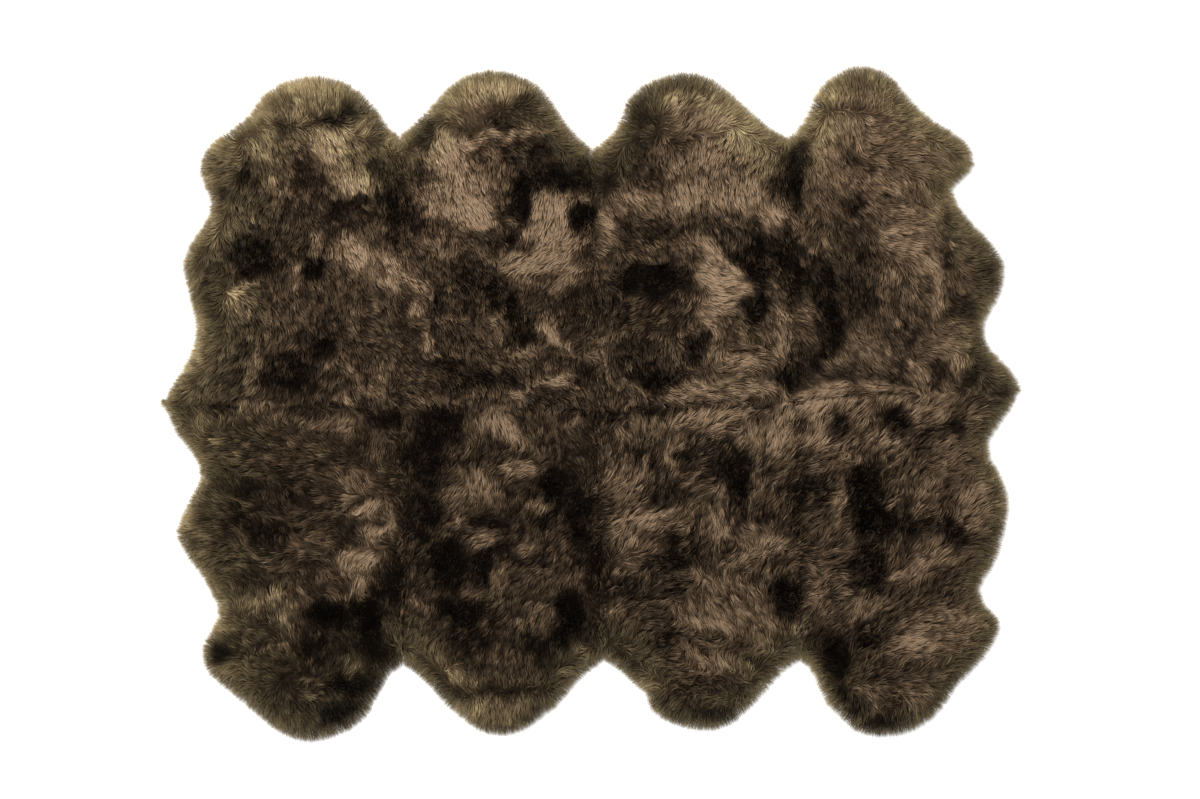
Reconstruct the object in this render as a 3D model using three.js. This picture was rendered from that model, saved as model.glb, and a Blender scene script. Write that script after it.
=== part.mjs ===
// Sheepskin rug: eight pelts sewn edge to edge in two rows of four, lying flat with the wool up.
// Millimetres. +X runs along the rug's length, +Y towards its upper row of pelts, +Z up from the floor.
// The origin is on the floor, under the middle of the rug.
import * as THREE from "three";

// Wool over a pelt, away from its seams and edges
const WOOL = {
  loft: 44, // height of the combed wool over the floor
  tuft: 6, // how far a tuft stands above or below that height
  tuftPitch: 38, // from tuft to tuft
  tuftStray: 9, // how far a tuft stands off its even place
  tuftClear: 27, // between a tuft and the points of the pelt's shoulder
};

// Slow swells of the loft: from crest to crest, heading from +X in degrees, and rise above the mean
const SWELLS = [
  { length: 310, turn: 25, rise: 2 },
  { length: 420, turn: -52, rise: 2 },
  { length: 230, turn: 80, rise: 1.5 },
];

// Section of a free edge, from the floor up: how far each ring lies inside the wool tips, and its height
const RIM = {
  hide: { inset: 32, height: 0, uneven: 0 },
  bulge: { inset: 15, height: 12, uneven: 1.5 },
  shoulder: { inset: 25, height: 33, uneven: 4 },
};

// Wool locks that stand out from a free edge and come down to the floor
const LOCK = {
  pitch: 31, // from lock to lock along the edge
  sway: 0.2, // how far a tip strays to the side, as a share of the pitch
  uneven: 5, // how far a tip stops short of the edge's curve, or reaches past it
  bendAlong: 0.5, // place of the lock's bend, as a share of its length
  bendSize: 0.55, // its section there, as a share of its root
  bendLift: 3, // how far it arches up there
  tipHeight: 0.8,
};

// Seams between pelts, where the wool parts in a furrow: deeper on the middle seam than on the upright ones
const SEAM = { gap: 0.3, pitch: 44, middleFurrow: 13, uprightFurrow: 7 };

// Short creases in the wool: the middle of each, its length, its turn from +X in degrees, and its depth
const CREASE_WIDTH = 30;
const CREASES = [
  { x: 735, y: 822, length: 230, turn: 2, depth: 14 },
  { x: -250, y: -812, length: 270, turn: -1, depth: 14 },
  { x: -700, y: 780, length: 190, turn: 32, depth: 12 },
  { x: 290, y: 240, length: 260, turn: 100, depth: 9 },
  { x: 1000, y: 420, length: 300, turn: 96, depth: 9 },
  { x: 430, y: -230, length: 200, turn: 85, depth: 10 },
  { x: -1000, y: -740, length: 120, turn: 60, depth: 9 },
  { x: -330, y: 560, length: 240, turn: 62, depth: 9 },
];

const at = (x, y) => new THREE.Vector2(x, y);

// Seam ends in the notches of the upper and lower edge, and stations of the long middle seam from tip to tip
const UPPER_NOTCH = [at(-529, 740), at(6, 701), at(547, 736)];
const LOWER_NOTCH = [at(-518, -721), at(36, -707), at(582, -704)];
const MIDDLE = [at(-1198, 5), at(-521, -6), at(22, -17), at(560, 0), at(1200, 44)];

// Each pelt's seams and free edge, anticlockwise seen from above. The free edge is a smooth curve at the
// wool tips, from the last point of the seams to their first, through these stations.
const PELTS = [
  {
    name: "pelt_upper_1",
    colour: 0x463a2d,
    seams: [MIDDLE[0], MIDDLE[1], UPPER_NOTCH[0]],
    edge: {
      neck: [at(-557, 770), at(-604, 837), at(-676, 892), at(-759, 911), at(-834, 898), at(-906, 856)],
      foreleg: [at(-948, 795), at(-1017, 748), at(-1067, 704), at(-1081, 637), at(-1048, 554)],
      belly: [at(-1084, 477), at(-1128, 399), at(-1109, 299), at(-1089, 202)],
      hindleg: [at(-1106, 139), at(-1145, 72)],
    },
  },
  {
    name: "pelt_upper_2",
    colour: 0x4a3e31,
    seams: [UPPER_NOTCH[0], MIDDLE[1], MIDDLE[2], UPPER_NOTCH[1]],
    edge: {
      neck: [at(-25, 737), at(-64, 779), at(-100, 837), at(-147, 890), at(-205, 915), at(-274, 926)],
      shoulder: [at(-330, 915), at(-380, 890), at(-427, 840), at(-493, 770)],
    },
  },
  {
    name: "pelt_upper_3",
    colour: 0x4a3f32,
    seams: [UPPER_NOTCH[1], MIDDLE[2], MIDDLE[3], UPPER_NOTCH[2]],
    edge: {
      shoulder: [at(496, 770), at(446, 812), at(391, 862), at(341, 901)],
      neck: [at(269, 920), at(197, 906), at(141, 879), at(100, 837), at(78, 770), at(47, 737)],
    },
  },
  {
    name: "pelt_upper_4",
    colour: 0x4c4134,
    seams: [UPPER_NOTCH[2], MIDDLE[3], MIDDLE[4]],
    edge: {
      hindleg: [at(1186, 78), at(1147, 116), at(1111, 155), at(1089, 205)],
      belly: [at(1106, 249), at(1136, 305), at(1150, 371), at(1142, 405), at(1106, 455), at(1059, 504)],
      foreleg: [at(1020, 557), at(1005, 599), at(1056, 637), at(1073, 676), at(1045, 729), at(1000, 759)],
      shoulder: [at(945, 793), at(901, 831), at(862, 881)],
      neck: [at(823, 920), at(768, 936), at(712, 931), at(668, 903), at(629, 867), at(582, 765)],
    },
  },
  {
    name: "pelt_lower_1",
    colour: 0x3e3327,
    seams: [LOWER_NOTCH[0], MIDDLE[1], MIDDLE[0]],
    edge: {
      hindleg: [at(-1167, -39), at(-1136, -94), at(-1095, -144), at(-1075, -194)],
      belly: [at(-1089, -230), at(-1122, -294), at(-1147, -360), at(-1111, -424), at(-1070, -477)],
      foreleg: [at(-1045, -527), at(-1028, -593), at(-1067, -654), at(-1075, -698), at(-1056, -745)],
      shoulder: [at(-1006, -787), at(-959, -826), at(-903, -876), at(-845, -917)],
      neck: [at(-784, -935), at(-718, -923), at(-662, -898), at(-612, -859), at(-588, -809), at(-543, -737)],
    },
  },
  {
    name: "pelt_lower_2",
    colour: 0x3b3025,
    seams: [LOWER_NOTCH[1], MIDDLE[2], MIDDLE[1], LOWER_NOTCH[0]],
    edge: {
      shoulder: [at(-488, -737), at(-446, -776), at(-402, -826), at(-358, -865), at(-308, -901)],
      neck: [at(-255, -917), at(-180, -901), at(-127, -862), at(-86, -831), at(-42, -776), at(3, -734)],
    },
  },
  {
    name: "pelt_lower_3",
    colour: 0x473b2d,
    seams: [LOWER_NOTCH[2], MIDDLE[3], MIDDLE[2], LOWER_NOTCH[1]],
    edge: {
      shoulder: [at(86, -737), at(130, -782), at(158, -804), at(164, -834), at(186, -862), at(252, -890)],
      neck: [at(316, -903), at(374, -892), at(421, -865), at(460, -826), at(502, -779), at(546, -734)],
    },
  },
  {
    name: "pelt_lower_4",
    colour: 0x46392c,
    seams: [MIDDLE[4], MIDDLE[3], LOWER_NOTCH[2]],
    edge: {
      neck: [at(610, -729), at(657, -829), at(696, -868), at(745, -909), at(806, -919), at(862, -913)],
      shoulder: [at(912, -895), at(959, -859), at(989, -820), at(1020, -776)],
      foreleg: [at(1073, -723), at(1117, -668), at(1139, -626), at(1133, -590), at(1075, -527)],
      belly: [at(1092, -488), at(1122, -435), at(1156, -321), at(1161, -261), at(1142, -211)],
      hindleg: [at(1122, -166), at(1100, -127), at(1111, -94), at(1147, -39), at(1178, 6)],
    },
  },
];

const radians = THREE.MathUtils.degToRad;
const lift = (p, height) => new THREE.Vector3(p.x, p.y, height);
const flat = (p) => at(p.x, p.y);

// A number from -1 to 1 for a place on the rug that looks random and is the same on every run. Each use has
// a seed of its own.
function stray(p, seed) {
  const wave = Math.sin((p.x + Math.SQRT2 * p.y + seed) * 127.1) * 43758.5;
  return 2 * (wave - Math.floor(wave)) - 1;
}

// Height of the wool at a place inside a pelt: its mean loft and the swells, less the creases
function loftAt(p) {
  let height = WOOL.loft;
  for (const { length, turn, rise } of SWELLS) {
    const heading = at(Math.cos(radians(turn)), Math.sin(radians(turn)));
    height += rise * Math.sin((2 * Math.PI * p.dot(heading)) / length);
  }
  for (const crease of CREASES) {
    const local = p.clone().sub(crease).rotateAround(at(0, 0), radians(-crease.turn));
    const pastEnd = Math.max(0, Math.abs(local.x) - crease.length / 2);
    const away = Math.hypot(local.y, pastEnd) / (CREASE_WIDTH / 2);
    height -= crease.depth * Math.exp(-away * away);
  }
  return height;
}

// Columns along a pelt's seams, from the first point of the seams to their last. Each stands half a gap to
// the inside, is as high as the furrow leaves it, and keeps its way along the seam.
function seamColumns(seams) {
  const columns = [];
  let before = at(0, 0);
  seams.slice(1).forEach((end, leg) => {
    const start = seams[leg];
    const way = end.clone().sub(start).normalize();
    const aside = at(-way.y, way.x).multiplyScalar(SEAM.gap / 2);
    const furrow = Math.abs(way.x) > Math.abs(way.y) ? SEAM.middleFurrow : SEAM.uprightFurrow;
    const top = WOOL.loft - furrow;
    const steps = Math.round(start.distanceTo(end) / SEAM.pitch);
    const last = leg === seams.length - 2 ? steps : steps - 1;
    for (let step = 0; step <= last; step++) {
      const place = start.clone().lerp(end, step / steps).add(aside);
      if (step === 0) place.add(before);
      columns.push({ way, place, low: lift(place, 0), mid: lift(place, top / 2), high: lift(place, top) });
    }
    before = aside;
  });
  return columns;
}

// One column of a free edge, with its rings set in from the wool tip along a unit vector
function edgeColumn(tip, inward) {
  const ring = ({ inset, height, uneven }) => {
    const wander = uneven * stray(tip, height);
    return lift(tip.clone().addScaledVector(inward, inset + wander), height + wander);
  };
  return { tip, inward, low: ring(RIM.hide), mid: ring(RIM.bulge), high: ring(RIM.shoulder) };
}

// Columns round a pelt: those of its free edge, then those of its seams between the edge's two ends. The
// ends are on the seams, so their rings are set in along the seam.
function columnsOf({ seams, edge }) {
  const walls = seamColumns(seams);
  const [end, start] = [walls.shift(), walls.pop()];
  const stations = [start.place, ...Object.values(edge).flat(), end.place];
  const curve = new THREE.CatmullRomCurve3(stations.map((p) => lift(p, 0)), false, "centripetal");
  const locks = Math.round(curve.getLength() / LOCK.pitch);
  const edgeColumns = curve.getSpacedPoints(locks).map((tip, i) => {
    const way = curve.getTangentAt(i / locks);
    const seamWay = { 0: start.way.clone().negate(), [locks]: end.way }[i];
    return edgeColumn(flat(tip), seamWay ?? at(-way.y, way.x));
  });
  return { columns: [...edgeColumns, ...walls], locks };
}

// True where a place lies inside a closed outline
function inside(p, outline) {
  let crossings = 0;
  outline.forEach((a, i) => {
    const b = outline[(i + 1) % outline.length];
    const spans = a.y > p.y !== b.y > p.y;
    if (spans && p.x < a.x + ((b.x - a.x) * (p.y - a.y)) / (b.y - a.y)) crossings += 1;
  });
  return crossings % 2 === 1;
}

// Tufts spread over a pelt in staggered rows, clear of its outline, each a little off its even place
function tuftsIn(outline) {
  const { min, max } = new THREE.Box2().setFromPoints(outline);
  const rowStep = WOOL.tuftPitch * Math.sin(radians(60));
  const tufts = [];
  for (let row = 0; min.y + row * rowStep < max.y; row++) {
    const stagger = (row % 2) * (WOOL.tuftPitch / 2);
    for (let x = min.x + stagger; x < max.x; x += WOOL.tuftPitch) {
      const even = at(x, min.y + row * rowStep);
      const tuft = at(stray(even, 1), stray(even, 2)).multiplyScalar(WOOL.tuftStray).add(even);
      const clear = outline.every((p) => p.distanceTo(tuft) > WOOL.tuftClear);
      if (clear && inside(tuft, outline)) {
        tufts.push(lift(tuft, loftAt(tuft) + WOOL.tuft * stray(tuft, 3)));
      }
    }
  }
  return tufts;
}

// A triangle of points a, b and c with the circle through them
function circled(points, a, b, c) {
  const [p, q, r] = [points[a], points[b], points[c]];
  const [qx, qy, rx, ry] = [q.x - p.x, q.y - p.y, r.x - p.x, r.y - p.y];
  const twice = 2 * (qx * ry - qy * rx);
  const x = (ry * (qx * qx + qy * qy) - qy * (rx * rx + ry * ry)) / twice;
  const y = (qx * (rx * rx + ry * ry) - rx * (qx * qx + qy * qy)) / twice;
  return { corners: [a, b, c], x: p.x + x, y: p.y + y, radius: Math.hypot(x, y) };
}

// Triangles between places seen from above, as even as can be (Delaunay): each place in turn takes out the
// triangles whose circles hold it, and the hole is filled with new ones round it.
function triangulate(places) {
  const far = 1e5;
  const count = places.length;
  const points = [...places, at(-far, -far), at(far, -far), at(0, far)];
  let triangles = [circled(points, count, count + 1, count + 2)];
  places.forEach((p, i) => {
    const hole = new Map();
    triangles = triangles.filter((t) => {
      if (Math.hypot(p.x - t.x, p.y - t.y) >= t.radius) return true;
      t.corners.forEach((a, k) => {
        const b = t.corners[(k + 1) % 3];
        if (!hole.delete(`${b} ${a}`)) hole.set(`${a} ${b}`, [a, b]);
      });
      return false;
    });
    hole.forEach(([a, b]) => triangles.push(circled(points, a, b, i)));
  });
  return triangles.map((t) => t.corners).filter((corners) => corners.every((c) => c < count));
}

// Tip of the lock between two columns of a free edge. A lock beside a seam leans over to the seam's end.
function lockTip(from, to, besideStart, besideEnd) {
  const even = from.tip.clone().lerp(to.tip, 0.5);
  const toSeam = (besideEnd ? 1 : 0) - (besideStart ? 1 : 0);
  const share = 0.5 + LOCK.sway * (toSeam || stray(even, 4));
  const shorter = toSeam ? 0 : LOCK.uneven * stray(even, 5);
  const tip = from.tip.clone().lerp(to.tip, share).addScaledVector(from.inward, shorter);
  return lift(tip, LOCK.tipHeight);
}

// A lock of four sides on a root of four points: it narrows at its bend and ends in a tip by the floor
function addLock(points, addFace, root, tip) {
  const add = (p) => points.push(p) - 1;
  const middle = root.reduce((sum, i) => sum.add(points[i]), new THREE.Vector3()).divideScalar(4);
  const bend = middle.clone().lerp(tip, LOCK.bendAlong);
  bend.z += LOCK.bendLift;
  const ring = root.map((i) => add(points[i].clone().sub(middle).multiplyScalar(LOCK.bendSize).add(bend)));
  const end = add(tip);
  root.forEach((corner, k) => {
    const next = (k + 1) % 4;
    addFace(corner, root[next], ring[next], ring[k]);
    addFace(ring[k], ring[next], end);
  });
}

// One pelt as a closed solid: a flat underside, walls with locks at the free edge, and a lumpy top
function peltGeometry(pelt) {
  const { columns, locks } = columnsOf(pelt);
  const count = columns.length;
  const [low, mid, high] = ["low", "mid", "high"].map((ring) => columns.map((column) => column[ring]));
  const shoulder = high.map(flat);
  const top = [...high, ...tuftsIn(shoulder)];
  const points = [...low, ...mid, ...top];
  const faces = [];
  const addFace = (a, b, c, d) => faces.push(a, b, c, ...(d === undefined ? [] : [a, c, d]));

  THREE.ShapeUtils.triangulateShape(low.map(flat), []).forEach(([a, b, c]) => addFace(a, c, b));

  columns.forEach((column, i) => {
    const next = (i + 1) % count;
    addFace(i, next, count + next, count + i);
    const root = [count + i, count + next, 2 * count + next, 2 * count + i];
    if (i < locks) addLock(points, addFace, root, lockTip(column, columns[next], i === 0, next === locks));
    else addFace(...root);
  });

  triangulate(top).forEach((corners) => {
    const [a, b, c] = corners.map((i) => flat(top[i]));
    if (inside(a.add(b).add(c).divideScalar(3), shoulder)) addFace(...corners.map((i) => 2 * count + i));
  });

  return new THREE.BufferGeometry().setFromPoints(points).setIndex(faces);
}

// The rug, centred over its origin
const rug = new THREE.Group();
for (const pelt of PELTS) {
  const wool = new THREE.MeshStandardMaterial({ color: pelt.colour, roughness: 0.95, metalness: 0 });
  const mesh = new THREE.Mesh(peltGeometry(pelt), wool);
  mesh.geometry.computeVertexNormals();
  mesh.name = pelt.name;
  rug.add(mesh);
}
const centre = new THREE.Box3().setFromObject(rug).getCenter(new THREE.Vector3());
rug.children.forEach((mesh) => mesh.position.set(-centre.x, -centre.y, 0));

export default rug;
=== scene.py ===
# Sheepskin rug of eight pelts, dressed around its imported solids: tanned hides, dense fleece and long wool.
import bpy
import numpy as np
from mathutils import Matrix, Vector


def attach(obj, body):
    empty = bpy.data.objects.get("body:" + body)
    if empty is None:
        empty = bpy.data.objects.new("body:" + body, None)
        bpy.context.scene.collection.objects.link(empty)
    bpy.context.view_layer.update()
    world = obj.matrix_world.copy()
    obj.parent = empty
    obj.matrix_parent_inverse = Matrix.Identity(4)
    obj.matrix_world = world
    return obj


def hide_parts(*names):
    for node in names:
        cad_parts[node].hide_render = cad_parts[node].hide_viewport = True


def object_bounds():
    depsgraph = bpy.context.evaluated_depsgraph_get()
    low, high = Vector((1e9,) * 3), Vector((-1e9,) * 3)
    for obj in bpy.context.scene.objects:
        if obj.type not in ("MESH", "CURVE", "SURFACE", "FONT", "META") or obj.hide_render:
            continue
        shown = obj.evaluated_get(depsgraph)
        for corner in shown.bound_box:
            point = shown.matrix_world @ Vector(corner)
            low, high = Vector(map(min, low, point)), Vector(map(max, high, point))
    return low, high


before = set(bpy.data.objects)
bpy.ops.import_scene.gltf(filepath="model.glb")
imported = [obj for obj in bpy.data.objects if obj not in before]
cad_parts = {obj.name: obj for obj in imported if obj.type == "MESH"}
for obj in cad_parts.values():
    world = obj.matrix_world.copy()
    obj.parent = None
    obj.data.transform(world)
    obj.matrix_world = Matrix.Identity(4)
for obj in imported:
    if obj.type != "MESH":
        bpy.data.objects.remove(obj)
cad_box = [list(corner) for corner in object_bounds()]

# Hides
# Each pelt's skin is tanned sheep hide, about 2.4 mm thick, with its suede side down on the floor.
# The skins are cut straight where they meet and butted together, and the seams are sewn from below.
HIDE_THICK = 0.0024
ON_FLOOR = 0.0001  # points of a solid lower than this are on its underside
PELTS = [f"pelt_{row}_{n}" for row in ("upper", "lower") for n in (1, 2, 3, 4)]


def solid_triangles(name):
    """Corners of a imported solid's triangles, as triangle by corner by x, y and z."""
    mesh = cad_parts[name].data
    points = np.empty(len(mesh.vertices) * 3)
    mesh.vertices.foreach_get("co", points)
    corners = np.empty(len(mesh.loops), dtype=int)
    mesh.loops.foreach_get("vertex_index", corners)
    return points.reshape(-1, 3)[corners].reshape(-1, 3, 3)


def underside(triangles):
    """The flat underside of a solid: its places, its triangles seen from above, and its outline as a loop
    of places, anticlockwise. An edge that only one triangle has is on the outline."""
    flat = triangles[np.all(triangles[:, :, 2] < ON_FLOOR, axis=1)][:, ::-1, :2]
    places, ids = np.unique(np.round(flat.reshape(-1, 2), 5), axis=0, return_inverse=True)
    ids = ids.reshape(-1, 3)
    edges = set(zip(ids.ravel().tolist(), np.roll(ids, -1, axis=1).ravel().tolist()))
    following = {a: b for a, b in edges if (b, a) not in edges}
    loop = [min(following)]
    while following[loop[-1]] != loop[0]:
        loop.append(following[loop[-1]])
    return places, ids, np.array(loop)


def linear(colour):
    """An sRGB hex colour as linear red, green, blue and alpha."""
    srgb = np.array([int(colour[i:i + 2], 16) for i in (1, 3, 5)]) / 255
    light = np.where(srgb <= 0.04045, srgb / 12.92, ((srgb + 0.055) / 1.055) ** 2.4)
    return (*light.tolist(), 1.0)


def add_node(tree, kind, settings=None, inputs=None):
    """Adds a node and sets its properties and inputs. An input that is a socket is linked instead."""
    node = tree.nodes.new(kind)
    for name, value in (settings or {}).items():
        setattr(node, name, value)
    for name, value in (inputs or {}).items():
        if isinstance(value, bpy.types.NodeSocket):
            tree.links.new(value, node.inputs[name])
        else:
            node.inputs[name].default_value = value
    return node


def add_ramp(tree, factor, stops):
    """A colour ramp over a factor socket, from (place, hex colour) stops."""
    node = add_node(tree, "ShaderNodeValToRGB", inputs={"Fac": factor})
    ramp = node.color_ramp
    for place, colour in stops[1:-1]:
        ramp.elements.new(place)
    for element, (place, colour) in zip(ramp.elements, stops):
        element.position = place
        element.color = linear(colour)
    return node.outputs["Color"]


def new_material(name):
    """An empty material with its node tree and its principled shader."""
    material = bpy.data.materials.new(name)
    material.use_nodes = True
    tree = material.node_tree
    return material, tree, tree.nodes["Principled BSDF"]


def new_piece(name, points, faces, material):
    """A mesh piece at the origin from points and faces, with one material."""
    mesh = bpy.data.meshes.new(name)
    mesh.from_pydata(points, [], faces)
    mesh.materials.append(material)
    piece = bpy.data.objects.new(name, mesh)
    bpy.context.collection.objects.link(piece)
    return piece


# Chrome-tanned suede: the flesh side is buffed to a short matt nap, mottled by the dye.
suede, tree, shader = new_material("tanned_suede")
NAP_GRAIN = 1.5  # mm between the nap's flecks, drawn coarser than the real 0.2 mm so that it shows
MOTTLE = 60  # mm across a mottle in the dye
place = add_node(tree, "ShaderNodeTexCoord").outputs["Object"]
mottle = add_node(
    tree,
    "ShaderNodeTexNoise",
    inputs={"Vector": place, "Scale": 1000 / MOTTLE, "Detail": 4.0},
)
grain = add_node(
    tree,
    "ShaderNodeTexNoise",
    inputs={"Vector": place, "Scale": 1000 / NAP_GRAIN, "Detail": 2.0},
)
dye = add_ramp(tree, mottle.outputs["Fac"], [(0.3, "#7d654a"), (0.5, "#957a5b"), (0.7, "#a88d6c")])
tree.links.new(dye, shader.inputs["Base Color"])
bump = add_node(
    tree,
    "ShaderNodeBump",
    inputs={"Height": grain.outputs["Fac"], "Strength": 0.35, "Distance": 0.0006},
)
tree.links.new(bump.outputs["Normal"], shader.inputs["Normal"])
shader.inputs["Roughness"].default_value = 0.95
shader.inputs["Specular IOR Level"].default_value = 0.2


def hide_mesh(places, ids, loop):
    """A flat skin: the underside's triangles at the floor and again at the skin's thickness, with a wall
    along the outline."""
    count = len(places)
    floor = np.column_stack([places, np.zeros(count)])
    points = np.vstack([floor, floor + [0, 0, HIDE_THICK]])
    after = np.roll(loop, -1)
    walls = np.column_stack([loop, after, after + count, loop + count])
    return points, ids[:, ::-1].tolist() + (ids + count).tolist() + walls.tolist()


solids, outlines, hides = {}, {}, {}
for name in PELTS:
    solids[name] = solid_triangles(name)
    places, ids, loop = underside(solids[name])
    outlines[name] = places[loop]
    hides[name] = new_piece(f"hide_{name[5:]}", *hide_mesh(places, ids, loop), suede)
    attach(hides[name], "root")

# Fleece
# Close to the skin the wool is too dense to see between its fibres. This lower half of the pile is a soft
# body on each hide, rounded over at the free edges, lumpy with the locks that grow out of it.
FLEECE_SHARE = 0.5  # of the wool's loft
FLEECE_ROUND = 0.028  # how far in from a free edge the body reaches its full height
FLEECE_EDGE = 0.002  # its height at the free edge itself
FLEECE_LUMP = 0.12  # how far its lumps rise and fall, as a share of its height
FLEECE_LUMP_SIZE = 0.02  # from lump to lump
FLEECE_PALE = 0.1  # how much paler it is at the free edge
FLEECE_GRID = (44, 26)  # rows from the middle seam to the neck, and columns across
FLEECE_END = 0.985  # the last row stops just short of the neck's tip
TOP_FROM = 0.028  # points of a solid above this height are on its top, and the others on its rim
SEAM_NEAR = 0.002  # an outline edge whose middle is this close to another pelt is on a seam
SEAM_WANDER = 0.06  # the middle seam stays this close to the rug's middle line
MAP_PITCH = 0.004  # from point to point on the map of the nap
MAP_MARGIN = 0.1  # how far that map reaches past the solids
RAGGED = ((11, 0.045), (9, 0.018))  # how far a patch's edge strays, in mm, and over what distance, in metres
PATCH_SPAN = 1.8  # past this many half lengths a patch has died away


def away_from(places, edges, blur=0.02):
    """Distance from places to the nearest of some edges, the unit way out over them, and how well the
    edges agree on it. The way is the mean of the edges' own outward ways, with weights that fall off by e
    for each blur of extra distance, so it turns gently at corners. Agreement is 1 along a straight edge, and
    less at a corner."""
    start, along = edges[:, 0], edges[:, 1] - edges[:, 0]
    share = np.sum((places[:, None] - start) * along, axis=2) / np.sum(along * along, axis=1)
    gap = start + np.clip(share, 0, 1)[:, :, None] * along - places[:, None]
    distance = np.linalg.norm(gap, axis=2)
    nearest = distance.min(axis=1)
    weight = np.exp((nearest[:, None] - distance) / blur)
    way = weight @ np.column_stack([along[:, 1], -along[:, 0]])
    size = np.maximum(np.linalg.norm(way, axis=1), 1e-9)
    return nearest, way / size[:, None], size / (weight @ np.linalg.norm(along, axis=1))


def is_seam(name):
    """True for each edge of a pelt's outline that runs along a neighbour."""
    others = np.concatenate([e for n, e in edges.items() if n != name])
    return away_from(edges[name].mean(axis=1), others)[0] < SEAM_NEAR


def loft_at(places, name, spread=0.02, batch=4000):
    """Height of a solid's top over places: the mean of its top points, weighted by a bell of that spread."""
    points = np.unique(np.round(solids[name].reshape(-1, 3), 5), axis=0)
    tops = points[points[:, 2] > TOP_FROM]
    heights = []
    for first in range(0, len(places), batch):
        gap = places[first:first + batch, None] - tops[None, :, :2]
        weight = np.exp(-np.sum(gap * gap, axis=2) / (2 * spread * spread)) + 1e-12
        heights.append(weight @ tops[:, 2] / weight.sum(axis=1))
    return np.concatenate(heights)


def lattice_noise(places, cell, seed):
    """Smooth noise from -1 to 1: random numbers on a square lattice, eased between the corners of a cell."""
    table = np.random.default_rng(seed).uniform(-1, 1, (64, 64))
    scaled = places / cell
    corner = np.floor(scaled).astype(int)
    x, y = ((scaled - corner) ** 2 * (3 - 2 * (scaled - corner))).T
    low, high = [
        table[(corner[:, 1] + up) % 64, corner[:, 0] % 64] * (1 - x)
        + table[(corner[:, 1] + up) % 64, (corner[:, 0] + 1) % 64] * x
        for up in (0, 1)
    ]
    return low * (1 - y) + high * y


# Each pelt's own coat, a row for each pelt with these columns. Tone: from 0, black brown, to 1, pale taupe.
# Comb: the heading of the wool's tips in degrees from +X. Wool grows from the neck towards the tail, so to
# the middle seam. Curl: the waviness of the locks, from 0 to 1. Parting and slant: how far from the middle
# line the wool turns back over the neck, and how much further for each metre to the right. Olive: how far in
# from a free edge the dye has faded to olive. Unevenness: how unevenly the strands took the dye, which also
# sets how deep the painted shade at their roots is. Reach: how far over the longest strands lean.
COAT_COLUMNS = ("tone", "comb", "curl", "parting", "slant", "olive", "uneven_dye_and_shade", "reach")
COAT = {
    "pelt_upper_1": (0.43, -80, 0.25, 0.775, 0.15, 0.180, 0.95, 0.030),
    "pelt_upper_2": (0.45, -85, 0.20, 0.855, 0.00, 0.080, 1.15, 0.027),
    "pelt_upper_3": (0.48, -80, 0.30, 0.855, 0.00, 0.100, 1.35, 0.032),
    "pelt_upper_4": (0.54, -70, 0.15, 0.826, 0.05, 0.075, 1.00, 0.032),
    "pelt_lower_1": (0.42, 165, 0.20, 0.820, 0.00, 0.200, 1.25, 0.032),
    "pelt_lower_2": (0.39, 80, 0.35, 0.797, 0.00, 0.110, 1.35, 0.034),
    "pelt_lower_3": (0.47, 60, 0.60, 0.790, 0.00, 0.090, 1.75, 0.038),
    "pelt_lower_4": (0.46, 40, 0.45, 0.810, 0.00, 0.050, 1.75, 0.038),
}
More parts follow.
